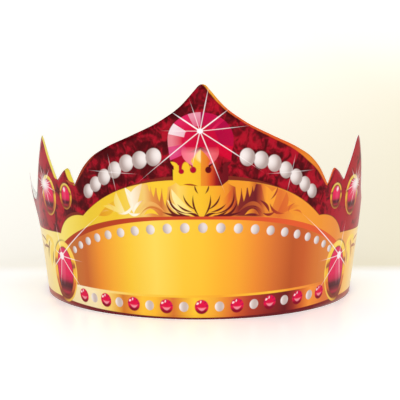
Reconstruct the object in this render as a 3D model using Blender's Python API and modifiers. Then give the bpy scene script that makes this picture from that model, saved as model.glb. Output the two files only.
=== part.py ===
# A party crown die-cut from one sheet of card, rolled into a flared ring and hooked together at the back.
# Metres, +Z up, the tall front panel towards -Y. The card is first laid out flat, as it is cut, with
# "station" measured along the rim from the middle of the front and "height" up the card from the rim.

import bpy
import bmesh
from math import ceil, cos, pi, radians, sin, sqrt

MM = 0.001

# The card and its ring
CARD_THICKNESS = 0.5 * MM
RIM_LENGTH = 578 * MM
RIM_RADIUS = RIM_LENGTH / (2 * pi)
FLARE = radians(7.0)

# The hooked ends: each end runs on past the seam as a tab that lies inside the other end
SEAM_STATION = RIM_LENGTH / 2
TAB_LENGTH = 31 * MM
CARD_END = SEAM_STATION + TAB_LENGTH
SLIT_WIDTH = 3 * MM
LAYER_GAP = 0.35 * MM
LAYER_PITCH = CARD_THICKNESS + LAYER_GAP
LAP_RUN_IN = 16 * MM
SLIT_CLEARANCE = 0.2 * MM
TAB_CORNER = 9 * MM
TAB_SETBACK = 1.5 * MM

# Where the rolled card leaves an even cone: the third tooth on the wearer's right stands out from
# above the low stone, and the free edge at the foot of each tall tooth tucks in, less on that side
LEAN_FOOT = 26 * MM
LEAN_TOP = 60 * MM
LEAN_STATION = -174 * MM
LEAN_SPREAD = 45 * MM
LEAN_OUT = 7.2 * MM
TUCK_FOOT = 46 * MM
TUCK_TOP = 70 * MM
TUCK_STATION = 126 * MM
TUCK_SPREAD = 22 * MM
TUCK_IN = 1.1 * MM
TUCK_SHARE_BESIDE_LEAN = 0.3

# How finely the flat card is divided
COLUMN_WIDTH = 3.6 * MM
ROWS = 4

# The card is cut a little long at the rim and then trimmed level, so that it stands on a flat edge
RIM_ALLOWANCE = 0.4 * MM
TRIM_DEPTH = 5 * MM
TRIM_HALF_WIDTH = 150 * MM

# Half of the cut outline, from the middle of the front to the end of the card
# station mm, height mm, whether the cut turns a corner there
OUTLINE = [
    (0.0, 136.9, False),
    (1.8, 136.1, False),
    (3.4, 133.9, False),
    (10.0, 125.0, False),
    (20.0, 116.2, False),
    (35.0, 107.2, False),
    (50.0, 99.2, False),
    (60.0, 92.3, False),
    (66.0, 86.0, False),
    (73.3, 75.4, True),
    (75.2, 80.2, False),
    (76.3, 83.3, False),
    (77.8, 84.3, False),
    (79.6, 83.5, False),
    (88.3, 76.0, True),
    (95.0, 91.0, False),
    (98.3, 99.8, False),
    (99.3, 101.1, False),
    (100.6, 100.0, False),
    (106.0, 91.0, False),
    (121.0, 68.5, False),
    (129.0, 60.8, False),
    (138.0, 56.6, False),
    (145.0, 58.0, False),
    (150.0, 64.5, False),
    (153.0, 70.5, True),
    (160.0, 62.5, False),
    (176.0, 51.5, False),
    (200.0, 48.0, False),
    (320.0, 46.0, True),
]


def slope_at(index):
    """The slope of the outline at a point of the table. The middle of the front is level."""
    if index == 0:
        return 0.0
    before, here, after = OUTLINE[index - 1], OUTLINE[index], OUTLINE[index + 1]
    left = (here[1] - before[1]) / (here[0] - before[0])
    right = (after[1] - here[1]) / (after[0] - here[0])
    left_share = (after[0] - here[0]) / (after[0] - before[0])
    return left * left_share + right * (1 - left_share)


def cut_height(station):
    """Height of the cut edge at a station: a smooth curve between corners."""
    along = min(abs(station) / MM, OUTLINE[-1][0])
    index = max(i for i in range(len(OUTLINE) - 1) if OUTLINE[i][0] <= along)
    start, end = OUTLINE[index], OUTLINE[index + 1]
    width = end[0] - start[0]
    chord = (end[1] - start[1]) / width
    start_slope = chord if start[2] else slope_at(index)
    end_slope = chord if end[2] else slope_at(index + 1)
    t = (along - start[0]) / width
    bend_in = t * (1 - t) ** 2 * (start_slope - chord)
    bend_out = t * t * (1 - t) * (chord - end_slope)
    return (start[1] + width * (chord * t + bend_in + bend_out)) * MM


def tab_share(station):
    """0 on the band, rising to 1 at the very end of the tab."""
    return max(0.0, (abs(station) - SEAM_STATION) / TAB_LENGTH)


def tab_inset(station):
    """How far the tab's edges draw in from the band's, with rounded corners at its end."""
    to_end = CARD_END - abs(station)
    corner = TAB_CORNER - sqrt(max(0.0, TAB_CORNER ** 2 - max(0.0, TAB_CORNER - to_end) ** 2))
    return TAB_SETBACK * min(1.0, tab_share(station) * 2) + corner


def flat_column_stations():
    """Stations of the grid's columns: on each point of the outline, and on both edges of the slits."""
    marks = [station * MM for station, height, corner in OUTLINE[:-1]]
    marks += [SEAM_STATION - SLIT_WIDTH / 2, SEAM_STATION + SLIT_WIDTH / 2]
    marks += [CARD_END - TAB_CORNER, CARD_END - TAB_CORNER / 4, CARD_END]
    half = [0.0]
    for start, end in zip(marks, marks[1:]):
        steps = ceil((end - start) / COLUMN_WIDTH)
        half += [start + (end - start) * (i + 1) / steps for i in range(steps)]
    return [-station for station in reversed(half[1:])] + half


def lay_flat(bm, stations):
    """A grid of faces in the shape of the flat card, station along X and height along Y."""
    columns = len(stations) - 1
    bmesh.ops.create_grid(bm, x_segments=columns, y_segments=ROWS, size=1.0)
    for vert in bm.verts:
        station = stations[round((vert.co.x + 1) / 2 * columns)]
        row = round((vert.co.y + 1) / 2 * ROWS)
        inset = tab_inset(station) if tab_share(station) > 0 else 0.0
        low = inset if inset > 0 else -RIM_ALLOWANCE
        high = cut_height(station) - inset
        height = low + (high - low) * row / ROWS
        if row == ROWS // 2 and abs(station) > SEAM_STATION - LAP_RUN_IN:
            height += SLIT_CLEARANCE if station > 0 else -SLIT_CLEARANCE
        vert.co = (station, height, 0.0)


def cut_slits(bm):
    """One end is slit up from the rim to half height, the other down from the top."""
    slit = []
    for face in bm.faces:
        middle = face.calc_center_median()
        if abs(abs(middle.x) - SEAM_STATION) > SLIT_WIDTH / 2:
            continue
        upper = middle.y > cut_height(middle.x) / 2
        if upper != (middle.x > 0):
            slit.append(face)
    bmesh.ops.delete(bm, geom=slit, context="FACES")


def ease(value):
    """A smooth step from 0 to 1."""
    value = min(1.0, max(0.0, value))
    return value * value * (3 - 2 * value)


def layer_offset(station):
    """Radial place of the card where its ends lap: outside up to the seam, then inside as a tab."""
    run_in = ease((abs(station) - (SEAM_STATION - TAB_LENGTH - LAP_RUN_IN)) / LAP_RUN_IN)
    crossing = ease((abs(station) - SEAM_STATION) / SLIT_WIDTH + 0.5)
    return LAYER_PITCH / 2 * (run_in - 2 * crossing)


def near(station, middle, spread):
    """1 at the middle of a stretch of the card, falling smoothly to 0 at either side."""
    return ease(1 - abs(station - middle) / spread)


def spring(station, height):
    """How far the free card springs out of the cone, or into it."""
    leaning = ease((height - LEAN_FOOT) / (LEAN_TOP - LEAN_FOOT))
    out = LEAN_OUT * near(station, LEAN_STATION, LEAN_SPREAD) * leaning
    tucked = ease((height - TUCK_FOOT) / (TUCK_TOP - TUCK_FOOT))
    share = TUCK_SHARE_BESIDE_LEAN if station < 0 else 1.0
    tuck = TUCK_IN * near(abs(station), TUCK_STATION, TUCK_SPREAD) * tucked * share
    return out - tuck


def roll(bm):
    """Rolls the flat card into its flared ring."""
    for vert in bm.verts:
        station, height = vert.co.x, vert.co.y
        angle = station / RIM_RADIUS
        radius = RIM_RADIUS + height * sin(FLARE) + layer_offset(station) + spring(station, height)
        vert.co = (radius * sin(angle), -radius * cos(angle), height * cos(FLARE))


def centre_over_origin(bm):
    """Moves the ring so that the middle of its box is over the origin. It is not round in plan."""
    for axis in (0, 1):
        places = [vert.co[axis] for vert in bm.verts]
        middle = (min(places) + max(places)) / 2
        for vert in bm.verts:
            vert.co[axis] -= middle


def card_material():
    """Gloss laminated card, in the mean colour of its red and gold print."""
    material = bpy.data.materials.new("printed_card")
    material.use_nodes = True
    shader = material.node_tree.nodes["Principled BSDF"]
    shader.inputs["Base Color"].default_value = (0.62, 0.24, 0.07, 1.0)
    shader.inputs["Roughness"].default_value = 0.25
    shader.inputs["Metallic"].default_value = 0.0
    return material


def build_card(collection):
    """The one sheet of card, rolled, given its thickness and trimmed level at the rim."""
    bm = bmesh.new()
    lay_flat(bm, flat_column_stations())
    cut_slits(bm)
    roll(bm)
    centre_over_origin(bm)
    bmesh.ops.recalc_face_normals(bm, faces=bm.faces)
    mesh = bpy.data.meshes.new("crown_card")
    bm.to_mesh(mesh)
    bm.free()
    card = bpy.data.objects.new("crown_card", mesh)
    collection.objects.link(card)
    card.data.materials.append(card_material())

    thickness = card.modifiers.new("card_thickness", "SOLIDIFY")
    thickness.thickness = CARD_THICKNESS
    thickness.offset = 0.0
    thickness.use_rim = True
    return card


def build_rim_trimmer(collection):
    """A block whose top face is the surface that the crown stands on."""
    bm = bmesh.new()
    bmesh.ops.create_cube(bm, size=1.0)
    for vert in bm.verts:
        vert.co.x *= 2 * TRIM_HALF_WIDTH
        vert.co.y *= 2 * TRIM_HALF_WIDTH
        vert.co.z = (vert.co.z - 0.5) * TRIM_DEPTH
    mesh = bpy.data.meshes.new("rim_trimmer")
    bm.to_mesh(mesh)
    bm.free()
    trimmer = bpy.data.objects.new("rim_trimmer", mesh)
    collection.objects.link(trimmer)
    trimmer.display_type = "WIRE"
    trimmer.hide_render = True
    return trimmer


def trim_rim(card, trimmer):
    trim = card.modifiers.new("level_rim", "BOOLEAN")
    trim.operation = "DIFFERENCE"
    trim.solver = "EXACT"
    trim.object = trimmer


def new_collection(name):
    collection = bpy.data.collections.new(name)
    bpy.context.scene.collection.children.link(collection)
    return collection


def main():
    for old in list(bpy.data.objects):
        bpy.data.objects.remove(old)
    card = build_card(new_collection("paper_crown"))
    trimmer = build_rim_trimmer(new_collection("cutters"))
    trim_rim(card, trimmer)


main()
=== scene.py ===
# A printed party crown: one die-cut sheet of laminated card, rolled and hooked, with its print
# drawn by shader maths on the flat card. Flat places are in millimetres: "station" runs along the
# rim from the middle of the front, and "height" runs up the card from the rim.

from functools import reduce
from math import ceil, cos, hypot, pi, radians, sin, sqrt

import bmesh
import bpy
import numpy as np
from mathutils import Matrix, Vector


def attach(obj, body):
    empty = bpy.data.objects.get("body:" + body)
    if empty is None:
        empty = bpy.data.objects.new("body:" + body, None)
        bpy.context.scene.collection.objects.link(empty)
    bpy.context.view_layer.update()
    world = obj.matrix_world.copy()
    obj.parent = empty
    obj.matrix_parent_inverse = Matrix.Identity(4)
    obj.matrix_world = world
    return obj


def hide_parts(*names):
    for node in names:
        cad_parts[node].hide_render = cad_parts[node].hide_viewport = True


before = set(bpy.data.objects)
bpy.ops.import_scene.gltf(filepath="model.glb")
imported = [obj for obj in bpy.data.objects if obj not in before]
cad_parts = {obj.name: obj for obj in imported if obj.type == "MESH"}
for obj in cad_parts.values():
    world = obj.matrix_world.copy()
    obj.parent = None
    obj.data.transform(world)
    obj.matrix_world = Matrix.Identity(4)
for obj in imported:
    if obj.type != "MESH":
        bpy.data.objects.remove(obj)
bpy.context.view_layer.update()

MM = 0.001

# The card and its ring, as the part's source has them, in millimetres
CARD_THICKNESS = 0.5
RIM_LENGTH = 578
RIM_RADIUS = RIM_LENGTH / (2 * pi)
FLARE = radians(7.0)
SEAM_STATION = RIM_LENGTH / 2
TAB_LENGTH = 31
CARD_END = SEAM_STATION + TAB_LENGTH
SLIT_WIDTH = 3
LAYER_GAP = 0.35
LAYER_PITCH = CARD_THICKNESS + LAYER_GAP
LAP_RUN_IN = 16
SLIT_CLEARANCE = 0.2
TAB_CORNER = 9
TAB_SETBACK = 1.5

# Where the rolled card leaves an even cone: the third tooth on the wearer's right stands out from
# above the low stone, and the free edge at the foot of each tall tooth tucks in, less on that side
LEAN_FOOT = 26
LEAN_TOP = 60
LEAN_STATION = -174
LEAN_SPREAD = 45
LEAN_OUT = 7.2
TUCK_FOOT = 46
TUCK_TOP = 70
TUCK_STATION = 126
TUCK_SPREAD = 22
TUCK_IN = 1.1
TUCK_SHARE_BESIDE_LEAN = 0.3

# Half of the cut outline: station, height
OUTLINE = [
    (0, 136.9), (1.8, 136.1), (3.4, 133.9), (10, 125), (20, 116.2), (35, 107.2),
    (50, 99.2), (60, 92.3), (66, 86), (73.3, 75.4), (75.2, 80.2), (76.3, 83.3),
    (77.8, 84.3), (79.6, 83.5), (88.3, 76), (95, 91), (98.3, 99.8), (99.3, 101.1),
    (100.6, 100), (106, 91), (121, 68.5), (129, 60.8), (138, 56.6), (145, 58),
    (150, 64.5), (153, 70.5), (160, 62.5), (176, 51.5), (200, 48), (320, 46),
]

# Stations where the cut turns a corner. Between them it is a smooth curve.
CORNERS = (73.3, 88.3, 153, 320)

# How finely the visual card is divided
COLUMN_WIDTH = 1.1
ROWS = 36

# Gold rims printed along stretches of the cut edge, from left to right: station, rim width there
GOLD_RIMS = [
    [(0.3, 0.5), (4, 1.3), (20, 1.0), (40, 1.5), (50, 1.9), (59, 2.9), (66, 2.1), (73.3, 1.2)],
    [(73.3, 1.1), (77.8, 1.2)],
    [(-73.3, 0.8), (-68, 1.4), (-60, 0.9), (-53, 0.0)],
    [(-77.6, 3.0), (-76.3, 4.1), (-75.2, 4.0), (-73.9, 2.2)],
    [(-99.1, 1.7), (-95, 2.4), (-89.4, 2.3)],
]
RIM_STEP = 0.4


def add_object(name, data):
    made = bpy.data.objects.new(name, data)
    bpy.context.scene.collection.objects.link(made)
    return made


# The flat card and how it rolls up


def slope_at(index):
    """The slope of the outline at a point of the table. The middle of the front is level."""
    if index == 0:
        return 0.0
    before, here, after = OUTLINE[index - 1], OUTLINE[index], OUTLINE[index + 1]
    left = (here[1] - before[1]) / (here[0] - before[0])
    right = (after[1] - here[1]) / (after[0] - here[0])
    left_share = (after[0] - here[0]) / (after[0] - before[0])
    return left * left_share + right * (1 - left_share)


def cut_height(station):
    """Height of the cut edge at a station: a smooth curve between corners."""
    along = min(abs(station), OUTLINE[-1][0])
    index = max(i for i in range(len(OUTLINE) - 1) if OUTLINE[i][0] <= along)
    start, end = OUTLINE[index], OUTLINE[index + 1]
    width = end[0] - start[0]
    chord = (end[1] - start[1]) / width
    start_slope = chord if start[0] in CORNERS else slope_at(index)
    end_slope = chord if end[0] in CORNERS else slope_at(index + 1)
    t = (along - start[0]) / width
    bend_in = t * (1 - t) ** 2 * (start_slope - chord)
    bend_out = t * t * (1 - t) * (chord - end_slope)
    return start[1] + width * (chord * t + bend_in + bend_out)


def tab_share(station):
    """0 on the band, rising to 1 at the very end of the tab."""
    return max(0.0, (abs(station) - SEAM_STATION) / TAB_LENGTH)


def tab_inset(station):
    """How far the tab's edges draw in from the band's, with rounded corners at its end."""
    to_end = CARD_END - abs(station)
    corner = TAB_CORNER - sqrt(max(0.0, TAB_CORNER ** 2 - max(0.0, TAB_CORNER - to_end) ** 2))
    return TAB_SETBACK * min(1.0, tab_share(station) * 2) + corner


def column_stations():
    """Stations of the grid's columns: on each point of the outline, and on both edges of the slits."""
    marks = [station for station, height in OUTLINE[:-1]]
    marks += [SEAM_STATION - SLIT_WIDTH / 2, SEAM_STATION + SLIT_WIDTH / 2]
    marks += [CARD_END - TAB_CORNER, CARD_END - TAB_CORNER / 2, CARD_END - TAB_CORNER / 6, CARD_END]
    half = [0.0]
    for start, end in zip(marks, marks[1:]):
        steps = ceil((end - start) / COLUMN_WIDTH)
        half += [start + (end - start) * (i + 1) / steps for i in range(steps)]
    return [-station for station in reversed(half[1:])] + half


def rim_points():
    """Places along the cut edge that carry a gold rim: station, height, rim width."""
    points = []
    for stretch in GOLD_RIMS:
        stations = np.arange(stretch[0][0], stretch[-1][0], RIM_STEP)
        widths = np.interp(stations, *zip(*stretch))
        points += [(s, cut_height(s), w) for s, w in zip(stations, widths)]
    return np.array(points)


def lay_flat(bm, stations):
    """A grid of faces in the shape of the flat card. Each vertex keeps its flat place, with its
    distance to the nearest gold rim, which is below 0 inside a rim."""
    columns = len(stations) - 1
    rims = rim_points()
    flat_place = bm.verts.layers.float_vector.new("flat_place")
    bmesh.ops.create_grid(bm, x_segments=columns, y_segments=ROWS, size=1.0)
    for vert in bm.verts:
        station = stations[round((vert.co.x + 1) / 2 * columns)]
        row = round((vert.co.y + 1) / 2 * ROWS)
        inset = tab_inset(station) if tab_share(station) > 0 else 0.0
        low, high = inset, cut_height(station) - inset
        height = low + (high - low) * row / ROWS
        if row == ROWS // 2 and abs(station) > SEAM_STATION - LAP_RUN_IN:
            height += SLIT_CLEARANCE if station > 0 else -SLIT_CLEARANCE
        vert.co = (station, height, 0.0)
        away = np.hypot(rims[:, 0] - vert.co.x, rims[:, 1] - vert.co.y) - rims[:, 2]
        vert[flat_place] = (vert.co.x, vert.co.y, away.min())


def cut_slits(bm):
    """One end is slit up from the rim to half height, the other down from the top."""
    slit = []
    for face in bm.faces:
        middle = face.calc_center_median()
        if abs(abs(middle.x) - SEAM_STATION) > SLIT_WIDTH / 2:
            continue
        upper = middle.y > cut_height(middle.x) / 2
        if upper != (middle.x > 0):
            slit.append(face)
    bmesh.ops.delete(bm, geom=slit, context="FACES")


def ease(value):
    """A smooth step from 0 to 1."""
    value = min(1.0, max(0.0, value))
    return value * value * (3 - 2 * value)


def layer_offset(station):
    """Radial place of the card where its ends lap: outside up to the seam, then inside as a tab."""
    run_in = ease((abs(station) - (SEAM_STATION - TAB_LENGTH - LAP_RUN_IN)) / LAP_RUN_IN)
    crossing = ease((abs(station) - SEAM_STATION) / SLIT_WIDTH + 0.5)
    return LAYER_PITCH / 2 * (run_in - 2 * crossing)


def near(station, middle, spread):
    """1 at the middle of a stretch of the card, falling smoothly to 0 at either side."""
    return ease(1 - abs(station - middle) / spread)


def spring(station, height):
    """How far the free card springs out of the cone, or into it."""
    leaning = ease((height - LEAN_FOOT) / (LEAN_TOP - LEAN_FOOT))
    out = LEAN_OUT * near(station, LEAN_STATION, LEAN_SPREAD) * leaning
    tucked = ease((height - TUCK_FOOT) / (TUCK_TOP - TUCK_FOOT))
    share = TUCK_SHARE_BESIDE_LEAN if station < 0 else 1.0
    tuck = TUCK_IN * near(abs(station), TUCK_STATION, TUCK_SPREAD) * tucked * share
    return out - tuck


def roll(bm):
    """Rolls the flat card into its flared ring."""
    for vert in bm.verts:
        station, height = vert.co.x, vert.co.y
        angle = station / RIM_RADIUS
        radius = RIM_RADIUS + height * sin(FLARE) + layer_offset(station) + spring(station, height)
        vert.co = (radius * sin(angle), -radius * cos(angle), height * cos(FLARE))


def centre_of_plan(bm):
    """The middle of the rolled card's box. The ring is not round in plan."""
    middles = []
    for axis in (0, 1):
        places = [vert.co[axis] for vert in bm.verts]
        middles.append((min(places) + max(places)) / 2)
    return Vector((*middles, 0.0))


# The card's materials, in the order that build_card adds them, and where the print's zones end
PRINT_FRONT, BARE_CARD, CUT_EDGE, PRINT_SIDE, PRINT_BACK = range(5)
FRONT_ZONE_END = 72
SIDE_ZONE_END = 165


def build_card():
    """The rolled card with its real thickness. Returns the piece and the ring's axis in metres."""
    bm = bmesh.new()
    lay_flat(bm, column_stations())
    cut_slits(bm)
    roll(bm)
    middle = centre_of_plan(bm)
    for vert in bm.verts:
        vert.co = (vert.co - middle) * MM
    bmesh.ops.recalc_face_normals(bm, faces=bm.faces)
    bm.faces.ensure_lookup_table()
    if bm.faces[0].normal.dot(bm.faces[0].calc_center_median()) < 0:
        bmesh.ops.reverse_faces(bm, faces=bm.faces)
    mesh = bpy.data.meshes.new("printed_card")
    bm.to_mesh(mesh)
    bm.free()
    card = add_object("printed_card", mesh)
    for make in (front_print, bare_card, cut_edge, side_print, back_print):
        mesh.materials.append(make())

    thickness = card.modifiers.new("card_thickness", "SOLIDIFY")
    thickness.thickness = CARD_THICKNESS * MM
    thickness.offset = 0.0
    thickness.use_rim = True
    thickness.material_offset = BARE_CARD
    thickness.material_offset_rim = CUT_EDGE
    depsgraph = bpy.context.evaluated_depsgraph_get()
    solid = bpy.data.meshes.new_from_object(card.evaluated_get(depsgraph))
    card.modifiers.clear()
    card.data = solid
    bpy.data.meshes.remove(mesh)
    solid.name = "printed_card"
    finish_mesh(solid)
    return card, -middle * MM


def finish_mesh(mesh):
    """Stands the rim level, shades the card smooth and gives each face its material and bake place."""
    flat = np.zeros(len(mesh.vertices) * 3)
    mesh.attributes["flat_place"].data.foreach_get("vector", flat)
    flat = flat.reshape(-1, 3)
    for vert in mesh.vertices:
        vert.co.z = max(0.0, vert.co.z)
    for face in mesh.polygons:
        face.use_smooth = face.material_index != CUT_EDGE
        if face.material_index == PRINT_FRONT:
            station = abs(flat[list(face.vertices), 0].mean())
            if station > SIDE_ZONE_END:
                face.material_index = PRINT_BACK
            elif station > FRONT_ZONE_END:
                face.material_index = PRINT_SIDE
    lay_out_bake(mesh, flat)


# Places on the baked picture, in shares of its width: the printed front at full detail, the two
# sides below it, the bare inside below them, and thin strips for the cut edge
BAKE_FRONT_END = 108
BAKE_MARGIN = 0.006
FRONT_SCALE = (1 - 2 * BAKE_MARGIN) / (2 * BAKE_FRONT_END)
SIDE_SCALE = (0.5 - 2 * BAKE_MARGIN) / (CARD_END - BAKE_FRONT_END)
INSIDE_SCALE = (1 - 2 * BAKE_MARGIN) / (2 * CARD_END)
INSIDE_RISE = 0.0009
FRONT_BASE = 0.372
SIDE_BASE = 0.155
INSIDE_BASE = 0.024
STRIP_HEIGHT = 0.004
STRIP_PITCH = 0.006


def outside_place(stations, heights, middle):
    """Bake places of a printed face's corners. The station of its middle says which part it is in."""
    if abs(middle) < BAKE_FRONT_END:
        return 0.5 + stations * FRONT_SCALE, FRONT_BASE + heights * FRONT_SCALE
    start = BAKE_MARGIN if middle > 0 else 0.5 + BAKE_MARGIN
    return start + (abs(stations) - BAKE_FRONT_END) * SIDE_SCALE, SIDE_BASE + heights * SIDE_SCALE


def lay_out_bake(mesh, flat):
    """A UV map without overlaps, for whoever bakes the print to a picture."""
    bake = mesh.uv_layers.new(name="OFBake")
    originals = len(mesh.vertices) // 2
    slit_faces = 0
    for face in mesh.polygons:
        verts = list(face.vertices)
        stations, heights = flat[verts, 0], flat[verts, 1]
        inside = 0.5 + stations * INSIDE_SCALE
        strip = np.where(np.array(verts) < originals, STRIP_HEIGHT, 0.0) + BAKE_MARGIN / 2
        if face.material_index == BARE_CARD:
            spots = zip(inside, INSIDE_BASE + heights * INSIDE_RISE)
        elif face.material_index != CUT_EDGE:
            spots = zip(*outside_place(stations, heights, stations.mean()))
        elif np.ptp(stations) > 0.05:
            spots = zip(inside, strip + (0 if heights.mean() < 1.0 else STRIP_PITCH))
        else:
            upper = heights > heights.min() + 0.01
            across = BAKE_MARGIN + slit_faces * STRIP_HEIGHT + upper * 0.8 * STRIP_HEIGHT
            spots = zip(across, strip + 2 * STRIP_PITCH)
            slit_faces += 1
        for corner, spot in zip(face.loop_indices, spots):
            bake.uv[corner].vector = spot


# Shader maths

# The gloss film is full on the front, and thinner on the sides, where a pale haze lies on it
COAT_WEIGHT = 0.6
SIDE_COAT_WEIGHT = 0.18
GLOSS_FADE = (118, 90)
COAT_ROUGHNESS = 0.07
COAT_IOR = 1.2
HAZE_TINT = (1.0, 0.92, 0.9, 1.0)

# How softly a printed shape and a ray of light end at their sides, in mm
INK_EDGE = 0.35
RAY_EDGE = 0.4


def ink(red, green, blue):
    """A printed colour, from the 0 to 255 numbers that a screen shows it with."""
    def light(value):
        value = value / 255
        return value / 12.92 if value <= 0.04045 else ((value + 0.055) / 1.055) ** 2.4
    return (light(red), light(green), light(blue), 1.0)


def operator(operation):
    """A method of Value that adds one Math node."""
    return lambda value, *others: value.press.maths(operation, value, *others)


class Value:
    """A number that changes over the card. Operators on it add Math nodes."""

    def __init__(self, press, socket):
        self.press = press
        self.socket = socket

    def __rsub__(self, other):
        return self.press.maths("SUBTRACT", other, self)

    def __neg__(self):
        return self * -1.0

    __add__ = __radd__ = operator("ADD")
    __sub__ = operator("SUBTRACT")
    __mul__ = __rmul__ = operator("MULTIPLY")
    __truediv__ = operator("DIVIDE")
    __pow__ = operator("POWER")
    __abs__ = operator("ABSOLUTE")


class Press:
    """Builds one print material. Each ink is laid over what is printed already."""

    def __init__(self, name):
        self.material = bpy.data.materials.new(name)
        self.material.use_nodes = True
        self.nodes = self.material.node_tree.nodes
        self.links = self.material.node_tree.links
        self.nodes.clear()
        place = self.node("Attribute", {"attribute_name": "flat_place"})
        parts = self.node("SeparateXYZ", {}, {"Vector": place.outputs["Vector"]})
        self.x, self.y, self.rim = [Value(self, socket) for socket in parts.outputs]
        self.fold = abs(self.x)
        self.colour = None

    def node(self, kind, settings=None, sockets=None):
        """Adds a node: its settings first, then the values or links of its sockets."""
        made = self.nodes.new("ShaderNode" + kind)
        for name, setting in (settings or {}).items():
            setattr(made, name, setting)
        for name, given in (sockets or {}).items():
            given = given.socket if isinstance(given, Value) else given
            if isinstance(given, bpy.types.NodeSocket):
                self.links.new(given, made.inputs[name])
            else:
                made.inputs[name].default_value = given
        return made

    def maths(self, operation, *values, clamp=False):
        settings = {"operation": operation, "use_clamp": clamp}
        made = self.node("Math", settings, dict(enumerate(values)))
        return Value(self, made.outputs[0])

    def most(self, *values):
        """The largest of several values: the union of several depths."""
        return reduce(lambda found, value: self.maths("MAXIMUM", found, value), values)

    def least(self, *values):
        """The smallest of several values: the overlap of several depths."""
        return reduce(lambda found, value: self.maths("MINIMUM", found, value), values)

    def slope(self, across, up, start, x=None, y=None):
        """A value that grows evenly across the card: across * x + up * y + start."""
        x = self.x if x is None else x
        y = self.y if y is None else y
        part = self.maths("MULTIPLY_ADD", x, across, start)
        return self.maths("MULTIPLY_ADD", y, up, part)

    def share(self, depth, softness=INK_EDGE):
        """1 where a depth in mm is above 0, and 0 where it is below, with a soft edge."""
        return self.maths("MULTIPLY_ADD", depth, 1 / softness, 0.5, clamp=True)

    def fade(self, value, start, end):
        """Rises evenly from 0 to 1 as a value goes from start to end."""
        width = end - start
        return self.maths("MULTIPLY_ADD", value, 1 / width, -start / width, clamp=True)

    def mix(self, share, below, above):
        made = self.node("Mix", {"data_type": "RGBA"}, {0: share, 6: below, 7: above})
        return made.outputs[2]

    def ramp(self, value, stops, interpolation="LINEAR"):
        """A colour that follows a value. stops: value, red, green, blue"""
        low, high = stops[0][0], stops[-1][0]
        share = self.maths("MULTIPLY_ADD", value, 1 / (high - low), -low / (high - low))
        made = self.node("ValToRGB", {}, {"Fac": share})
        made.color_ramp.interpolation = interpolation
        elements = made.color_ramp.elements
        elements.remove(elements[1])
        elements[0].color = ink(*stops[0][1:])
        for stop, *colour in stops[1:]:
            elements.new((stop - low) / (high - low)).color = ink(*colour)
        return made.outputs["Color"]

    def print_over(self, share, colour):
        self.colour = self.mix(share, self.colour, colour)

    def fill(self, depth, colour, softness=INK_EDGE):
        """Prints a colour wherever a depth is above 0."""
        self.print_over(self.share(depth, softness), colour)

    def noise(self, scale, detail=2.0, roughness=0.5, distortion=0.0, stretch=1.0):
        """Even noise over the flat card, drawn out up the card where stretch is under 1."""
        settings = {"noise_dimensions": "2D"}
        spot = self.node("CombineXYZ", {}, {"X": self.x, "Y": self.y * stretch})
        sockets = {"Vector": spot.outputs[0], "Scale": scale, "Detail": detail}
        sockets.update({"Roughness": roughness, "Distortion": distortion})
        return Value(self, self.node("TexNoise", settings, sockets).outputs[0])

    def oval(self, x, middle, radii, y=None):
        """Depth inside an oval, in mm near its edge."""
        across = self.maths("MULTIPLY_ADD", x, 1 / radii[0], -middle[0] / radii[0])
        y = self.y if y is None else y
        up = self.maths("MULTIPLY_ADD", y, 1 / radii[1], -middle[1] / radii[1])
        reach = self.maths("MULTIPLY_ADD", across, across, up * up)
        return (1 - reach) * (min(radii) / 2)

    def line_place(self, x, y, start, end, origin, bow=0.0):
        """Place by a line, from an origin at a share of its length: along it, as a share of the
        length beyond the origin, out to its left in mm, and that length."""
        length = hypot(end[0] - start[0], end[1] - start[1])
        ahead = ((end[0] - start[0]) / length, (end[1] - start[1]) / length)
        reach = length * (1 - origin)
        zero = (start[0] + ahead[0] * length * origin, start[1] + ahead[1] * length * origin)
        from_zero = -(zero[0] * ahead[0] + zero[1] * ahead[1]) / reach
        along = self.slope(ahead[0] / reach, ahead[1] / reach, from_zero, x, y)
        left = zero[0] * ahead[1] - zero[1] * ahead[0]
        return along, self.slope(-ahead[1], ahead[0], left - bow, x, y), reach

    def leaf(self, x, start, end, bow, width, y=None):
        """Depth inside a curved leaf, pointed at both ends, that bows to the left of its way."""
        along, across, half = self.line_place(x, y, start, end, 0.5, bow)
        square = along * along
        curved = self.maths("MULTIPLY_ADD", square, bow, across)
        return self.maths("MULTIPLY_ADD", square, -width, width) - abs(curved)

    def ray(self, x, start, end, width):
        """Depth inside a thin ray of light that tapers to a point."""
        along, across, length = self.line_place(x, None, start, end, 0)
        fading = self.maths("MULTIPLY_ADD", along, -width - RAY_EDGE, width + RAY_EDGE / 2)
        return self.least(self.least(fading, width / 2) - abs(across), along * length)

    def finish(self, roughness, bump=None, coat=True, bump_height=0.02, haze=0.0):
        """Ends the material: the print under a gloss film that hazes at a slant, or bare card."""
        sockets = {"Base Color": self.colour, "Roughness": roughness, "Specular IOR Level": 0.0}
        sockets.update({"Sheen Weight": haze, "Sheen Roughness": 0.3, "Sheen Tint": HAZE_TINT})
        if coat:
            gloss = self.fade(self.fold, *GLOSS_FADE) * (COAT_WEIGHT - SIDE_COAT_WEIGHT)
            gloss = gloss + SIDE_COAT_WEIGHT
            sockets.update({"Coat Weight": gloss, "Coat Roughness": COAT_ROUGHNESS, "Coat IOR": COAT_IOR})
        if bump is not None:
            settings = {"Strength": 0.5, "Distance": bump_height * MM, "Height": bump}
            sockets["Normal"] = self.node("Bump", {}, settings).outputs["Normal"]
        shader = self.node("BsdfPrincipled", {}, sockets)
        self.node("OutputMaterial", {}, {"Surface": shader.outputs["BSDF"]})
        return self.material


# Velvet and gold

# Dark and bright velvet, from 0 where the pile lies away from the light to 1 where it faces it
VELVET_COLOURS = [
    (0.36, 72, 0, 6), (0.45, 88, 2, 12), (0.51, 114, 5, 19), (0.56, 148, 8, 29), (0.64, 172, 12, 36),
]


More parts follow.
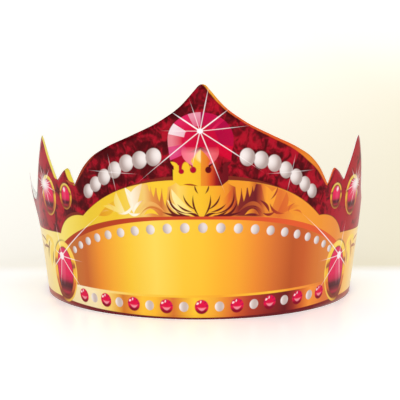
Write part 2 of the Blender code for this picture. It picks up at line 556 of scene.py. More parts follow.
def print_velvet(press):
    """Crushed velvet: dark red with brighter patches, and brighter on the teeth and to the right."""
    folds = press.noise(0.12, detail=3.0, roughness=0.5, distortion=0.5)
    streaks = press.noise(0.3, detail=2.0, roughness=0.5, distortion=0.8, stretch=0.6)
    on_teeth = press.fade(press.fold, 70, 92) * press.fade(press.fold, 150, 120) * 0.14
    to_right = press.fade(press.x, -60, 70) * 0.05
    pile = folds * 0.62 + streaks * 0.38 + to_right + on_teeth - 0.025
    press.colour = press.ramp(pile, VELVET_COLOURS)


# Curves across the front: height in the middle, drop at CURVE_HALF_WIDTH, and its power
ARCH_CURVE = (82.4, 17.3, 2.65)
LINE_CURVE = (61.2, 7.7, 2.75)
LABEL_CURVE = (59.3, 9.3, 2.4)
CURVE_HALF_WIDTH = 60

# The gold lies below the arch, in a round lobe on each side of it, and low on the sides
LOBE_MIDDLE = (70.5, 34)
LOBE_RADII = (22.8, 23.2)
SIDE_GOLD_TOP = 50.1
SIDE_GOLD_LEVEL_END = 95
SIDE_GOLD_FALL = 0.07
ARCH_LINE_HALF_WIDTH = 42
ARCH_LINE_THICKNESS = 2.7

# The gold of the arch, the lobes and the sides along the station
GOLD_FIELD = [
    (-160, 246, 224, 154), (-125, 252, 230, 166), (-104, 252, 230, 144), (-84, 243, 220, 100),
    (-64, 233, 198, 55), (-44, 240, 196, 52), (-25, 243, 190, 52), (0, 244, 190, 50),
    (25, 238, 160, 44), (45, 240, 155, 48), (66, 241, 152, 50), (86, 234, 143, 58), (100, 242, 172, 84),
    (108, 254, 204, 112), (125, 255, 226, 156), (160, 246, 224, 154),
]


def below_curve(press, top, drop, power):
    """How far each place lies below a curve."""
    return top - (press.fold * (1 / CURVE_HALF_WIDTH)) ** power * drop - press.y


def gold_depth(press):
    arch = below_curve(press, *ARCH_CURVE)
    lobe = press.oval(press.fold, LOBE_MIDDLE, LOBE_RADII)
    falling = press.most(press.fold, SIDE_GOLD_LEVEL_END) * SIDE_GOLD_FALL
    low_sides = SIDE_GOLD_TOP - falling - press.y
    return press.most(arch, lobe, low_sides)


def print_gold(press):
    """The gold field, with a brown line over the middle of the arch and beside the left lobe."""
    gold = gold_depth(press)
    off_middle = press.fold * (1 / ARCH_LINE_HALF_WIDTH)
    by_left_lobe = press.fade(press.x, -67, -73) * press.fade(press.x, -89, -83) * 1.8
    line = press.most((1 - off_middle * off_middle) * ARCH_LINE_THICKNESS, by_left_lobe, 0.35)
    press.fill(gold + line, ink(124, 40, 26))
    press.fill(gold, press.ramp(press.x, GOLD_FIELD))


# The rims of the cut edge along the station: yellow and brown on the left, orange on the right
RIM_COLOURS = [
    (-102, 236, 216, 96), (-88, 234, 214, 86), (-74, 230, 206, 60), (-73, 150, 45, 26),
    (-60, 160, 60, 26), (-52, 120, 20, 24), (0, 236, 150, 40), (4, 240, 165, 50), (12, 226, 95, 38),
    (45, 232, 96, 40), (58, 236, 140, 42), (72, 228, 110, 42), (80, 224, 92, 40),
]


def print_rims(press):
    """Gold rims along parts of the cut edge, and the brown foot of the one on the left small tooth."""
    press.fill(-press.rim, press.ramp(press.x, RIM_COLOURS), 0.5)
    press.fill(press.leaf(press.x, (-80.6, 77.2), (-72.6, 75.8), -0.8, 0.9), ink(172, 74, 38))


# The label

LABEL_FOOT = 13.15
LABEL_END = 92

# The line over the label, the label, the light strip along its foot and the band below it
LINE_COLOURS = [(-60, 176, 62, 32), (0, 205, 72, 40), (50, 226, 92, 48)]
LABEL_GOLD = [
    (-80, 196, 112, 50), (-70, 200, 105, 50), (-60, 235, 145, 50), (-50, 245, 175, 55),
    (-40, 247, 200, 60), (-25, 250, 215, 90), (-10, 250, 200, 60), (0, 250, 195, 55),
    (10, 248, 180, 50), (20, 245, 165, 50), (30, 235, 140, 50), (40, 215, 115, 50), (52, 188, 88, 42),
    (60, 200, 95, 45), (70, 215, 120, 55), (80, 222, 135, 60),
]
STRIP_THICKNESS = 1.4
STRIP_GOLD = [
    (-80, 253, 240, 205), (-60, 250, 225, 150), (-40, 248, 205, 80), (-10, 248, 195, 55),
    (10, 245, 170, 50), (25, 250, 188, 56), (42, 252, 200, 60), (52, 249, 162, 56), (66, 243, 150, 62),
    (80, 225, 125, 50),
]
BAND_GOLD = [
    (-80, 250, 232, 178), (-66, 251, 235, 188), (-56, 250, 216, 120), (-50, 236, 176, 70),
    (-46, 212, 122, 46), (-40, 236, 160, 54), (-34, 252, 196, 58), (-27, 252, 192, 54),
    (-16, 216, 120, 50), (-4, 253, 204, 56), (8, 241, 168, 54), (14, 230, 134, 52), (20, 212, 94, 50),
    (27, 180, 66, 46), (38, 148, 44, 40), (50, 108, 32, 34), (56, 160, 52, 44), (62, 218, 108, 47),
    (68, 250, 155, 62), (80, 230, 125, 58),
]


def print_label(press):
    """The bare gold label under its line, its light foot, and the ground of the stones."""
    on_front = LABEL_END - press.fold
    foot = LABEL_FOOT + press.fold * press.fold * 0.00009 + press.x * 0.012 - press.y
    layers = [
        (below_curve(press, *LINE_CURVE), LINE_COLOURS),
        (below_curve(press, *LABEL_CURVE), LABEL_GOLD),
        (foot + STRIP_THICKNESS, STRIP_GOLD),
        (foot, BAND_GOLD),
    ]
    for depth, colours in layers:
        press.fill(press.least(depth, on_front), press.ramp(press.x, colours))


# The border along the rim, over the fold: dark red, made paler near the sides of the ring with painted
# glare
BORDER_AND_GLARE_COLOURS = [
    (62, 112, 24, 32), (82, 134, 40, 40), (96, 150, 60, 48), (112, 184, 98, 76), (150, 150, 44, 46),
    (180, 120, 24, 34),
]


def print_border(press):
    """The dark red line along the rim, thicker towards the sides, and paler there with painted glare."""
    line = press.least(press.fold * press.fold * 0.0003 + press.x * 0.003 + 1.1, 3.9)
    press.fill(line - press.y, press.ramp(press.fold, BORDER_AND_GLARE_COLOURS))


# Pearls and stones

# The shine of a pearl over its light, from its shaded side to its bright one
PEARL_SHINE = [
    (0.6, 174, 155, 150), (0.7, 190, 172, 167), (0.8, 208, 193, 189), (0.88, 223, 211, 207),
    (0.97, 238, 228, 225), (1.1, 252, 245, 243),
]


def print_pearl(press, across, up, size):
    """A pearl, from the place within it in shares of its radii. It is shaded on its outer side."""
    reach = across * across + up * up
    light = press.slope(-0.3, 0.13, 0.88, across, up) - reach * 0.26
    press.fill((1 - reach) * (size / 2), press.ramp(light, PEARL_SHINE), 0.4)


# The strings of pearls on the velvet: distance out from their middle, height, radii
STRING_PEARLS = [
    (62.8, 72.5, 3.3, 4.2), (57.5, 77.1, 3.6, 4.5), (51.6, 81.8, 3.75, 4.7), (45, 86.4, 3.8, 4.9),
    (38.1, 90.8, 3.9, 5), (30.8, 93.1, 4, 5.1), (23.5, 95.1, 4, 5.2),
]
STRING_MIDDLE = -0.85

# How much the print skews a pearl for each mm from the middle
PEARL_SKEW = 0.0017


def print_strings(press):
    """Two strings of pearls that grow towards the ruby, each over the one before."""
    out = abs(press.x - STRING_MIDDLE)
    for distance, height, wide, tall in STRING_PEARLS:
        skew = PEARL_SKEW * distance
        across = press.slope(1 / wide, skew / wide, -(distance + skew * height) / wide, out)
        up = press.slope(skew / tall, 1 / tall, -(height + skew * distance) / tall, out)
        print_pearl(press, across, up, wide)


# Rows on the label and the band, which crowd towards their ends as if round a ring: middle,
# radius of the ring, angle from each to the next. The drift grows with the station squared.
LABEL_ROW = (0.4, 97, 0.0975)
BAND_ROW = (-0.1, 133, 0.0755)
ROW_DRIFT = 0.00012


def row_place(press, middle, radius, angle):
    """The nearest place of a crowding row: its number from the middle, and the distance from it."""
    along = press.x - middle - press.x * press.x * ROW_DRIFT
    turned = press.maths("ARCSINE", along * (1 / radius))
    number = press.maths("ROUND", turned * (1 / angle))
    nearest = press.maths("SINE", number * angle) * radius
    return number, along - nearest


def print_label_pearls(press):
    """A row of small pearls under the label's top, smaller and lower towards its ends."""
    number, off = row_place(press, *LABEL_ROW)
    square = number * number
    across = off / (2.45 - square * 0.0065)
    up = (press.y - 54.5 + square * 0.19) / (2.95 - square * 0.0085)
    reach = across * across + up * up
    lit_side = press.fade(press.x, 8, 0) * 0.4 - 0.2
    light = press.slope(0.95, 0.04, 0.87, across * lit_side, up) - reach * 0.06
    press.fill(press.least(1 - reach, 10.4 - abs(number)), press.ramp(light, PEARL_SHINE), 0.3)


# A small ruby from its foot at -1 to its top at 1, then the inks of its details
RUBY_COLOURS = [(-1.0, 140, 12, 42), (-0.6, 140, 12, 42), (-0.2, 226, 20, 72), (1.0, 222, 20, 70)]
RUBY_PINK = ink(246, 150, 165)
RUBY_FACET = ink(176, 8, 84)
RUBY_GLINT = ink(255, 226, 232)


def print_band_stones(press):
    """Round rubies and pearls by turns along the band."""
    number, off = row_place(press, *BAND_ROW)
    half = abs(number) * 0.5
    is_pearl = press.maths("GREATER_THAN", press.maths("FRACT", half), 0.25)
    height = press.most(press.x * 0.006, press.x * 0.013) + press.fold * press.fold * 0.00023 + 7.6
    across = off / (3.9 - half * 0.06 - is_pearl * 1.25)
    up = (press.y - height) / (4.3 - half * 0.04 - is_pearl * 1.3)
    reach = across * across + up * up
    from_shade = across - 0.3
    pearl = press.ramp(from_shade * from_shade * 0.22 + 0.765, PEARL_SHINE)
    ruby = press.ramp(up, RUBY_COLOURS)
    turn = press.maths("ARCTAN2", up, across)
    facets = press.fade(press.maths("SINE", turn * 9), 0.2, 0.8) * press.fade(reach, 0.25, 0.5)
    ruby = press.mix(facets * press.fade(up, -0.3, 0.1) * 0.75, ruby, RUBY_FACET)
    crescent = press.leaf(across, (-0.55, -0.12), (0.6, -0.12), -0.24, 0.18, up)
    ruby = press.mix(press.share(crescent, 0.2), ruby, RUBY_PINK)
    glints = press.most(
        press.leaf(across, (-0.75, 0.32), (-0.38, 0.56), 0.04, 0.14, up),
        press.leaf(across, (-0.2, 0.5), (-0.08, 0.9), 0.0, 0.09, up),
    )
    ruby = press.mix(press.share(glints, 0.12), ruby, RUBY_GLINT)
    press.fill(press.least(1 - reach, 8.4 - abs(number)), press.mix(is_pearl, ruby, pearl), 0.24)


# The oval stones in gold bezels: middle on the fold, bezel radii, stone radii, share of brown
CABOCHONS = [
    ((92, 20.2), (12.5, 18.6), (8.4, 14.8), 0),
    ((82.4, 67), (5.3, 7.8), (3.4, 6.1), 0.3),
    ((101.2, 65), (8.7, 12.2), (6, 9.6), 0.2),
]
STONE_LEAN = 0.07
SMALL_STONE_GLINT = ((83, 71), (0.9, 1.3))

# Colours down a bezel and down a stone, from their feet at -1 to their tops at 1
BEZEL_COLOURS = [
    (-1, 190, 110, 50), (-0.86, 136, 58, 40), (-0.68, 150, 62, 40), (-0.5, 212, 108, 48),
    (-0.32, 222, 116, 46), (-0.16, 246, 176, 52), (0.02, 250, 196, 56), (0.13, 240, 170, 56),
    (0.22, 160, 78, 48), (0.3, 176, 92, 50), (0.4, 248, 188, 58), (0.6, 252, 206, 74),
    (0.85, 252, 214, 90), (1, 255, 236, 134),
]
STONE_COLOURS = [
    (-1, 98, 34, 34), (-0.86, 178, 36, 56), (-0.75, 126, 28, 44), (-0.6, 80, 18, 30),
    (-0.46, 100, 22, 38), (-0.3, 196, 28, 70), (-0.08, 224, 26, 84), (0.5, 230, 24, 84),
    (1, 212, 40, 88),
]


def print_cabochon(press, middle, bezel, stone, browned):
    """An oval stone in a rolled gold bezel."""
    x = press.slope(1.0, STONE_LEAN, -STONE_LEAN * middle[1], press.fold)
    rim = press.oval(x, middle, bezel)
    on_rim = press.share(rim)
    above = press.y - middle[1]
    up = above / bezel[1]
    outer_side = press.share(x - middle[0], 8.0)
    shadow = press.share(rim + 0.7, 0.8) * outer_side * press.fade(up, 0.3, 0.8)
    press.print_over(shadow * 0.7, ink(90, 54, 36))
    uneven = press.noise(0.16, detail=1.0, distortion=1.5) - 0.5
    press.print_over(on_rim, press.ramp(uneven * 0.16 + up, BEZEL_COLOURS))
    press.print_over(on_rim * browned, ink(120, 50, 24))
    outline = on_rim * press.share(bezel[0] / 14 - rim, 0.5) * (1 - outer_side)
    press.print_over(outline * (1 - browned * 2), ink(250, 204, 84))
    press.fill(press.oval(x, middle, (stone[0] + 0.5, stone[1] + 0.5)), ink(126, 52, 34))
    colour = press.ramp(above / stone[1], STONE_COLOURS)
    streak_middle = (middle[0] + stone[0] * 0.2, middle[1] + stone[1] * 0.2)
    streak = press.oval(x, streak_middle, (stone[0] * 0.28, stone[1] * 0.6))
    colour = press.mix(press.share(streak, 2.0) * 0.3, colour, ink(236, 110, 146))
    press.fill(press.oval(x, middle, stone), colour)


# The ruby at the top of the front

RUBY_MIDDLE = (-0.8, 105.0)
RUBY_RADIUS = 16.1
TABLE_RADIUS = 8.7
TABLE_SIDES = 10
TABLE_TURN = radians(5)

# Facets round the ruby's table: start in degrees, colour by the table, colour at the rim
RUBY_FACETS = [
    (-180, (206, 10, 58), (224, 128, 138)), (-166, (206, 34, 92), (214, 74, 124)),
    (-145, (204, 24, 80), (218, 60, 118)), (-135, (188, 0, 40), (196, 0, 42)),
    (-38, (208, 0, 48), (204, 0, 46)), (-14, (168, 0, 56), (176, 0, 58)),
    (32, (178, 2, 62), (168, 0, 62)), (44, (214, 32, 84), (198, 14, 70)),
    (52, (182, 6, 64), (188, 10, 68)), (83, (160, 10, 76), (156, 12, 74)),
    (90, (214, 92, 126), (222, 140, 160)), (112, (204, 6, 62), (212, 32, 88)),
    (143, (230, 178, 190), (236, 214, 218)), (166, (206, 10, 58), (224, 128, 138)),
    (180, (206, 10, 58), (224, 128, 138)),
]

TABLE_COLOURS = [(-9, 204, 10, 66), (-2, 198, 0, 50), (9, 190, 0, 52)]
DOME_COLOURS = [(-9, 236, 108, 130), (-3, 238, 138, 146), (8, 224, 86, 96)]

# The ruby's low corners: the outer edge at its foot, the foot's height, and how both lean
CORNER_OUT = 15.1
CORNER_FOOT = 93.4
CORNER_LEAN = 0.1
CORNER_RISE = 0.53


def ruby_depth(press, across, reach):
    """Depth inside the ruby: round, with two low corners, and cut off below them."""
    out = abs(across)
    foot = press.slope(CORNER_RISE, 1.0, -CORNER_OUT * CORNER_RISE - CORNER_FOOT, out)
    outer = press.slope(-1.0, CORNER_LEAN, CORNER_OUT - CORNER_LEAN * CORNER_FOOT, out)
    corner = press.least(outer, 103 - press.y)
    return press.least(press.most(RUBY_RADIUS - reach, corner), foot)


def print_ruby(press):
    """A round ruby seen from the front: its table, a ring of facets, and a pale dome low down."""
    across = press.x - RUBY_MIDDLE[0]
    up = press.y - RUBY_MIDDLE[1]
    reach = press.maths("SQRT", across * across + up * up)
    turn = press.maths("ARCTAN2", up, across)
    press.fill(press.oval(press.x, (-8.2, 92.0), (6.6, 7.0)), ink(170, 0, 40))
    angle = turn * (180 / pi)
    by_table = press.ramp(angle, [(start, *near) for start, near, far in RUBY_FACETS], "CONSTANT")
    by_rim = press.ramp(angle, [(start, *far) for start, near, far in RUBY_FACETS], "CONSTANT")
    facets = press.mix(press.fade(reach, TABLE_RADIUS, RUBY_RADIUS - 2), by_table, by_rim)
    step = 2 * pi / TABLE_SIDES
    corner = press.maths("FRACT", (turn - TABLE_TURN) * (1 / step)) * step - step / 2
    flat_reach = press.maths("COSINE", corner) * reach
    table = press.share(TABLE_RADIUS * cos(step / 2) - flat_reach)
    facets = press.mix(table, facets, press.ramp(across, TABLE_COLOURS))
    press.fill(ruby_depth(press, across, reach), facets)
    dome = press.share(press.oval(across, (-0.2, -6.4), (9.2, 8.6), up))
    press.print_over(dome * press.fade(press.y, 101.5, 97.5), press.ramp(across, DOME_COLOURS))


# The little gold coronet in front of the ruby

CORONET_MIDDLE = -0.7
CORONET_FOOT = 78.9
CORONET_COLOURS = [
    (-16, 240, 198, 44), (-4, 240, 188, 40), (-0.8, 238, 180, 40), (-0.6, 230, 142, 38),
    (2, 224, 122, 36), (4.5, 208, 76, 30), (7, 150, 22, 26), (9, 114, 14, 24), (16, 98, 14, 24),
]


def print_coronet(press):
    """Five points on a low body, with a drop-shaped hole between each two."""
    out = abs(press.x - CORONET_MIDDLE)
    on_left = press.share(CORONET_MIDDLE - press.x)
    y = press.y
    corner = press.slope(-0.9, 1.0, 9.5 - CORONET_FOOT, out)
    body = press.least(13.9 - out, y - CORONET_FOOT, corner, 88.2 - y)
    leaf = press.leaf(out, (0, 79), (0, 99.7), 0.0, 5.5)
    inner = press.oval(out, (7.4, 88.5), (2.0, 4.2))
    outer = press.least(1.25 - abs(out - 12.15), 90.6 - y, y - 84)
    hook = press.leaf(out, (11.0, 89.2), (15.0, 92.7), 0.2, 1.05)
    holes = press.most(
        press.oval(out, (3.8, 88.2), (1.6, 1.9)),
        press.oval(out, (9.7, 87.2), (1.4, 1.5)),
        press.leaf(out, (3.9, 89.0), (5.7, 94.0), 0.0, 0.7),
        press.least(y - 87.5, 90.5 - y, 0.65 - abs(out - 10.15)),
    )
    depth = press.least(press.most(body, leaf, inner, outer, hook), -holes)
    press.fill(depth, press.ramp(press.x, CORONET_COLOURS))
    tip = press.leaf(out, (0, 92.5), (0, 100), 0.0, 2.4)
    press.print_over(press.share(tip, 2.0) * on_left * 0.7, ink(248, 230, 180))
    foot = press.leaf(out, (1.6, CORONET_FOOT), (8.6, 79.7), 0.3, 0.5)
    press.print_over(press.share(foot) * on_left, ink(160, 62, 26))


# Scrollwork between the arch and the label

SCROLL_MIDDLE = -0.2
SCROLL_END = 56

# The ground of the scrollwork along the station
FIELD_SHADE = [
    (-60, 238, 196, 48), (-46, 238, 196, 50), (-38, 240, 206, 84), (-30, 238, 196, 112),
    (-26, 224, 146, 68), (-21, 204, 110, 52), (-17, 230, 168, 78), (-12, 244, 206, 100),
    (-7, 242, 194, 58), (0, 240, 188, 44), (8, 238, 162, 42), (13, 230, 136, 40), (16, 186, 78, 38),
    (19, 128, 40, 36), (28, 110, 28, 34), (31, 176, 72, 42), (34, 228, 136, 48), (42, 222, 114, 46),
    (52, 240, 154, 52),
]

# Strokes of the scrollwork on one half, in printing order: start, end, bow, half width, kind
STROKES = [
    ((13, 80.6), (28.6, 79.4), 0.4, 3.2, "gold"),
    ((17.2, 90), (18.8, 67), 0.6, 1.5, "gold"),
    ((20.4, 88), (21.8, 69.5), 0.5, 1.4, "gold"),
    ((23.6, 87), (24.8, 72), 0.5, 1.3, "gold"),
    ((26.3, 86), (26.8, 75), 0.3, 0.9, "gold"),
    ((18.5, 62.6), (34, 61), 6.3, 1.2, "curl"),
    ((19.5, 62.2), (32.5, 61), 4.4, 0.45, "line"),
    ((22.5, 61.5), (30.5, 61), 2.4, 1.3, "gold"),
    ((57.6, 58.6), (46.6, 68.6), 1.6, 2.4, "shade"),
    ((36, 61.6), (30.6, 79.6), -2.2, 2.6, "pale"),
    ((36.4, 62.4), (40.4, 76.6), 1.6, 2.2, "pale"),
    ((40.6, 60.8), (45.6, 73.4), -2, 2, "flame"),
    ((42.4, 60.6), (54.6, 64.6), 1.4, 1.4, "flame"),
    ((30.4, 69.8), (36.2, 62), 1.1, 0.8, "wisp"),
    ((32.4, 62.2), (39.6, 62.6), -1.5, 0.8, "wisp"),
    ((36.6, 69.8), (40.2, 77.4), -0.9, 0.5, "wisp"),
    ((36.2, 67.4), (45.4, 60.9), -2.2, 0.8, "wisp"),
    ((47.6, 61.4), (51.6, 66.4), 1.3, 0.5, "wisp"),
    ((50.6, 62), (56.6, 59.6), 1, 0.5, "wisp"),
    ((3, 62.4), (15.4, 77), -2.4, 2, "cream"),
    ((4, 62), (17.8, 70.6), -1.8, 1.6, "cream"),
    ((5.6, 62.6), (16.2, 76.4), -4.8, 0.6, "dark"),
    ((6.6, 61.9), (18.4, 70), -3.8, 0.7, "dark"),
    ((1.2, 61.2), (4.4, 73.4), -1.2, 0.5, "dark"),
    ((2.9, 65), (9.4, 73.6), -1.4, 0.5, "dark"),
    ((1.8, 74.4), (3.6, 79.4), -0.4, 0.4, "dark"),
    ((4.6, 63.8), (12.4, 68.2), -1, 0.55, "dark"),
    ((5.6, 61.2), (13.4, 64.4), -0.9, 0.6, "dark"),
    ((0, 58.8), (7.5, 63.2), 1.1, 0.8, "dark"),
    ((6, 61.6), (20.5, 63.4), -1, 0.8, "dark"),
]

# Colours of each kind of stroke along the front
STROKE_COLOURS = {
    "gold": [
        (-50, 242, 204, 58), (0, 244, 192, 48), (12, 238, 156, 42), (24, 236, 150, 42),
        (28, 190, 90, 40), (50, 240, 156, 50),
    ],
    "cream": [
        (-20, 248, 232, 180), (-10, 250, 222, 130), (0, 244, 192, 48), (10, 238, 156, 42),
        (14, 214, 96, 40), (20, 180, 70, 36),
    ],
    "pale": [
        (-42, 246, 228, 180), (-37, 248, 236, 212), (-31, 238, 204, 150), (31, 214, 110, 46),
        (34, 242, 158, 50), (42, 242, 160, 52),
    ],
    "flame": [
        (-56, 240, 200, 60), (-46, 242, 216, 120), (-40, 248, 232, 180), (40, 206, 88, 42),
        (47, 222, 112, 46), (56, 240, 154, 50),
    ],
    "shade": [(-58, 224, 148, 34), (-46, 234, 184, 44), (46, 238, 148, 46), (58, 240, 152, 50)],
    "wisp": [
        (-56, 226, 160, 44), (-48, 240, 206, 110), (-41, 250, 240, 218), (-34, 250, 240, 218),
        (-30, 222, 140, 66), (30, 112, 28, 34), (36, 140, 40, 36), (41, 176, 62, 38), (47, 206, 92, 44),
        (56, 220, 108, 46),
    ],
    "curl": [(-36, 240, 204, 116), (-18, 226, 142, 66), (18, 140, 46, 36), (34, 206, 106, 46)],
    "line": [(-50, 222, 156, 52), (-18, 198, 98, 48), (18, 104, 26, 34), (50, 198, 84, 42)],
    "dark": [(-30, 180, 92, 42), (-16, 104, 28, 24), (20, 92, 22, 26), (30, 150, 50, 34)],
}

# Small strokes beside the large oval stones, on the fold
SIDE_STROKES = [
    ((103, 36), (110, 20), 1.2, 2.6, "gold"),
    ((102, 33), (110, 38.6), 1.4, 1.7, "gold"),
    ((107.5, 39.4), (117, 31), 1.9, 1.8, "gold"),
    ((108, 36.6), (114.5, 24), 1, 0.8, "dark"),
    ((110, 31.2), (123, 30.2), 1, 1, "dark"),
    ((114, 34.6), (130, 36.2), 0.8, 0.7, "dark"),
    ((119, 28), (132, 33), 1.2, 0.7, "dark"),
    ((104.5, 30.5), (106.5, 22), 0.5, 0.5, "dark"),
]
SIDE_STROKE_COLOURS = {
    "gold": [(-120, 250, 216, 96), (120, 255, 220, 98)],
    "dark": [(-130, 196, 150, 112), (-106, 124, 78, 54), (106, 166, 84, 50), (130, 206, 150, 110)],
}


def print_strokes(press, x, strokes, colours, within):
    """Prints curved strokes from a table, each over the one before, within a share of the card."""
    inks = {kind: press.ramp(press.x, stops) for kind, stops in colours.items()}
    for start, end, bow, width, kind in strokes:
        depth = press.leaf(x, start, end, bow, width)
        press.print_over(press.share(depth) * within, inks[kind])


def print_scrollwork(press):
    """A spray of leaves and curls from the middle of the label to both sides."""
    arch = below_curve(press, *ARCH_CURVE)
    field = press.least(arch - 0.4, -below_curve(press, *LINE_CURVE), SCROLL_END - press.fold)
    press.fill(field, press.ramp(press.x, FIELD_SHADE), 1.0)
    out = abs(press.x - SCROLL_MIDDLE)
    print_strokes(press, out, STROKES, STROKE_COLOURS, press.share(arch))


# Printed sparkles

WHITE_LIGHT = ink(255, 250, 250)


def print_star(press, x, middle, rays, core, strength=0.92):
    """A sparkle: thin rays from a white core. rays: end, width"""
    depth = press.oval(x, middle, (core, core))
    for end, width in rays:
        depth = press.most(depth, press.ray(x, middle, end, width))
    press.print_over(press.share(depth, RAY_EDGE) * strength, WHITE_LIGHT)


# Sparkles on the ruby and, on the fold, on the large stones, the strings of pearls and the teeth.
# The first rays of the stones' sparkles run on over the front.
FRONT_RAY_COUNT = 3
MAIN_STAR_MIDDLE = (-1.1, 110.4)
MAIN_STAR_RAYS = [
    ((-17.6, 123.4), 0.68), ((15.6, 125.4), 0.58), ((4, 142), 0.34), ((-6.6, 130), 0.2),
    ((-21.5, 110.3), 0.22), ((26, 113.4), 0.3), ((32.5, 85), 0.42), ((-34.5, 78.5), 0.42),
    ((12.3, 72.8), 0.42), ((-5.6, 87), 0.34),
]

SIDE_STAR_MIDDLE = (93.5, 29.5)
SIDE_STAR_RAYS = [
    ((55, 61), 0.5), ((108, 19), 0.6), ((73, 9), 0.5), ((99.5, 8), 0.4), ((72, 28.8), 0.4),
    ((97, 52), 0.35), ((104, 33), 0.4),
]

PEARL_STAR_MIDDLE = (47.7, 84.9)
PEARL_STAR_RAYS = [
    ((31.8, 84.9), 0.3), ((63.6, 84.9), 0.3), ((49.4, 96.6), 0.25), ((45.4, 72), 0.25),
]

TOOTH_STAR_MIDDLE = (105.0, 71.2)
TOOTH_STAR_COUNT = 24
TOOTH_STAR_REACHES = (15.0, 8.0, 11.5, 9.0)


def print_tooth_star(press):
    """A burst of many fine rays on each tall tooth."""
    rays = []
    x, y = TOOTH_STAR_MIDDLE
    for index in range(TOOTH_STAR_COUNT):
        angle = index * 2 * pi / TOOTH_STAR_COUNT + 0.2
        reach = TOOTH_STAR_REACHES[index % len(TOOTH_STAR_REACHES)]
        rays.append(((x + reach * cos(angle), y + reach * sin(angle)), 0.5))
    glow = press.oval(press.fold, TOOTH_STAR_MIDDLE, (4.8, 2.6))
    press.print_over(press.share(glow, 2.4) * 0.6, WHITE_LIGHT)
    print_star(press, press.fold, TOOTH_STAR_MIDDLE, rays, 1.3, 0.8)


def film(press, haze=0.0):
    """Ends a print with gloss film, which is a little uneven."""
    uneven = press.noise(0.22, detail=2.0)
    return press.finish(uneven * 0.12 + 0.36, bump=uneven, haze=haze)


# Layers that the front and the sides share: the ground, and the label with all below it
GROUND = (print_velvet, print_rims, print_gold)
FOOT = (print_label, print_label_pearls, print_band_stones, print_border)


def front_print():
    press = Press("laminated_front_print")
    for layer in (*GROUND, print_scrollwork, print_ruby, print_coronet, print_strings, *FOOT):
        layer(press)
    print_star(press, press.x, MAIN_STAR_MIDDLE, MAIN_STAR_RAYS, 1.5)
    print_star(press, press.fold, SIDE_STAR_MIDDLE, SIDE_STAR_RAYS[:FRONT_RAY_COUNT], 1.0)
    print_star(press, press.fold, PEARL_STAR_MIDDLE, PEARL_STAR_RAYS, 0.6, 0.5)
    return film(press)


def side_print():
    press = Press("laminated_side_print")
    for layer in (*GROUND, *FOOT):
        layer(press)
    print_strokes(press, press.fold, SIDE_STROKES, SIDE_STROKE_COLOURS, 1.0)
    for cabochon in CABOCHONS:
        print_cabochon(press, *cabochon)
    press.fill(press.oval(press.fold, *SMALL_STONE_GLINT), ink(250, 220, 230), 0.8)
    print_star(press, press.fold, SIDE_STAR_MIDDLE, SIDE_STAR_RAYS, 2.3)
    print_tooth_star(press)
    return film(press, haze=0.55)


def back_print():
    press = Press("laminated_back_print")
    for layer in (print_velvet, print_gold, print_border):
        layer(press)
    return film(press)


def bare_card():
    """The uncoated inside of the card: off-white, with short fibres."""
    press = Press("bare_card_inside")
    fibres = press.noise(1.1, detail=4.0, roughness=0.65, distortion=0.8)
    cloudy = press.noise(0.05, detail=2.0)
    whites = [(0.35, 242, 240, 234), (0.65, 250, 249, 245)]
    press.colour = press.ramp(fibres * 0.5 + cloudy * 0.5, whites)
    return press.finish(fibres * 0.2 + 0.7, bump=fibres, coat=False, bump_height=0.05)


def cut_edge():
    """The cut edge of the card: white board, a little rough."""
    press = Press("cut_card_edge")
    fibres = press.noise(2.5, detail=3.0, roughness=0.6)
    press.colour = press.ramp(fibres, [(0.3, 232, 226, 218), (0.7, 248, 246, 242)])
    return press.finish(fibres * 0.2 + 0.75, bump=fibres, coat=False)


# Stage, light and camera

FLOOR_RADIUS = 8.0
FLOOR_DROP = -0.0001
FLOOR_WHITE = ink(252, 252, 252)
FLOOR_CREAM = ink(222, 211, 173)
FLOOR_GLOW_NEAR = 0.3
FLOOR_GLOW_FAR = 0.75


def pale_floor():
    """White, with a soft cream tone behind the crown that is stronger to the right."""
    press = Press("pale_floor")
    spot = press.node("TexCoord").outputs["Object"]
    parts = press.node("SeparateXYZ", {}, {"Vector": spot})
    right, back = Value(press, parts.outputs["X"]), Value(press, parts.outputs["Y"])
    behind = press.fade(back, 0.05, 0.075) * press.fade(back, 3.6, 0.09)
    cream = behind * (press.fade(right, -0.3, 0.25) * 0.85 + 0.08)
    colour = press.mix(cream, FLOOR_WHITE, FLOOR_CREAM)
    far = press.fade(press.maths("SQRT", right * right + back * back), 0.2, 2.0)
    glowing = far * (FLOOR_GLOW_FAR - FLOOR_GLOW_NEAR) + FLOOR_GLOW_NEAR
    glow = press.mix(glowing, ink(0, 0, 0), colour)
    sockets = {"Base Color": colour, "Roughness": 0.3, "Specular IOR Level": 0.3}
    sockets.update({"Emission Color": glow, "Emission Strength": 1.0})
    shader = press.node("BsdfPrincipled", {}, sockets)
    press.node("OutputMaterial", {}, {"Surface": shader.outputs["BSDF"]})
    return press.material


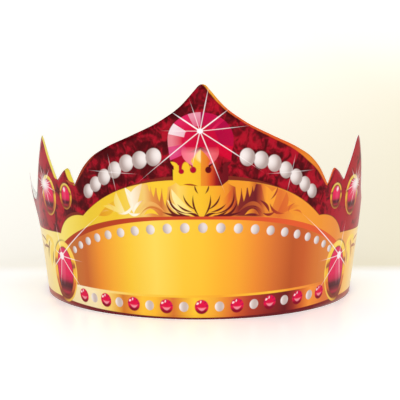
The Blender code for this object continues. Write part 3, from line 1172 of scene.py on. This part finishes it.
def build_floor():
    bm = bmesh.new()
    bmesh.ops.create_circle(bm, cap_ends=True, segments=96, radius=FLOOR_RADIUS)
    mesh = bpy.data.meshes.new("floor")
    bm.to_mesh(mesh)
    bm.free()
    floor = add_object("floor", mesh)
    floor.location.z = FLOOR_DROP
    mesh.materials.append(pale_floor())


# Soft boxes: name, place in metres, width in metres, watts
SOFT_BOXES = [
    ("key_light", (-1.1, -1.7, 1.3), 1.4, 15),
    ("fill_light", (1.4, -1.4, 1.2), 1.4, 11.9),
    ("top_light", (0, 0.5, 1.9), 1.8, 14),
]


def build_lights(target):
    for name, place, width, watts in SOFT_BOXES:
        lamp = bpy.data.lights.new(name, "AREA")
        lamp.shape = "SQUARE"
        lamp.size = width
        lamp.energy = watts
        light = add_object(name, lamp)
        light.location = place
        light.rotation_mode = "QUATERNION"
        light.rotation_quaternion = (Vector(place) - target).to_track_quat("Z", "Y")
    world = bpy.data.worlds.new("pale_room")
    world.use_nodes = True
    background = world.node_tree.nodes["Background"]
    background.inputs["Color"].default_value = (1.0, 0.995, 0.985, 1.0)
    background.inputs["Strength"].default_value = 0.42
    bpy.context.scene.world = world


# The photograph's view: the crown is turned a little to its left, so the camera stands to its right
CAMERA_RISE = 0.15854
CAMERA_TURN = radians(-0.9)
CAMERA_DISTANCE = 1150
CAMERA_TARGET = Vector((0.42, 0.0, 54.1))
FOCAL_PIXELS = 1877.5
PICTURE_WIDTH = 400


def build_camera(axis):
    back = Vector((0.0, -cos(CAMERA_RISE), sin(CAMERA_RISE)))
    turn = Matrix.Rotation(CAMERA_TURN, 3, "Z")
    lens = bpy.data.cameras.new("camera")
    lens.sensor_width = 36.0
    lens.lens = FOCAL_PIXELS / PICTURE_WIDTH * lens.sensor_width
    lens.clip_start = 0.01
    lens.clip_end = 20.0
    camera = add_object("camera", lens)
    camera.location = axis + turn @ (CAMERA_TARGET + back * CAMERA_DISTANCE) * MM
    camera.rotation_mode = "QUATERNION"
    camera.rotation_quaternion = (turn @ back).to_track_quat("Z", "Y")
    bpy.context.scene.camera = camera


def main():
    card, axis = build_card()
    build_camera(axis)
    build_floor()
    build_lights(Vector((0.0, 0.0, 0.06)))
    bpy.context.scene.view_settings.view_transform = "Standard"
    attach(card, "root")
    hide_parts("crown_card")


main()
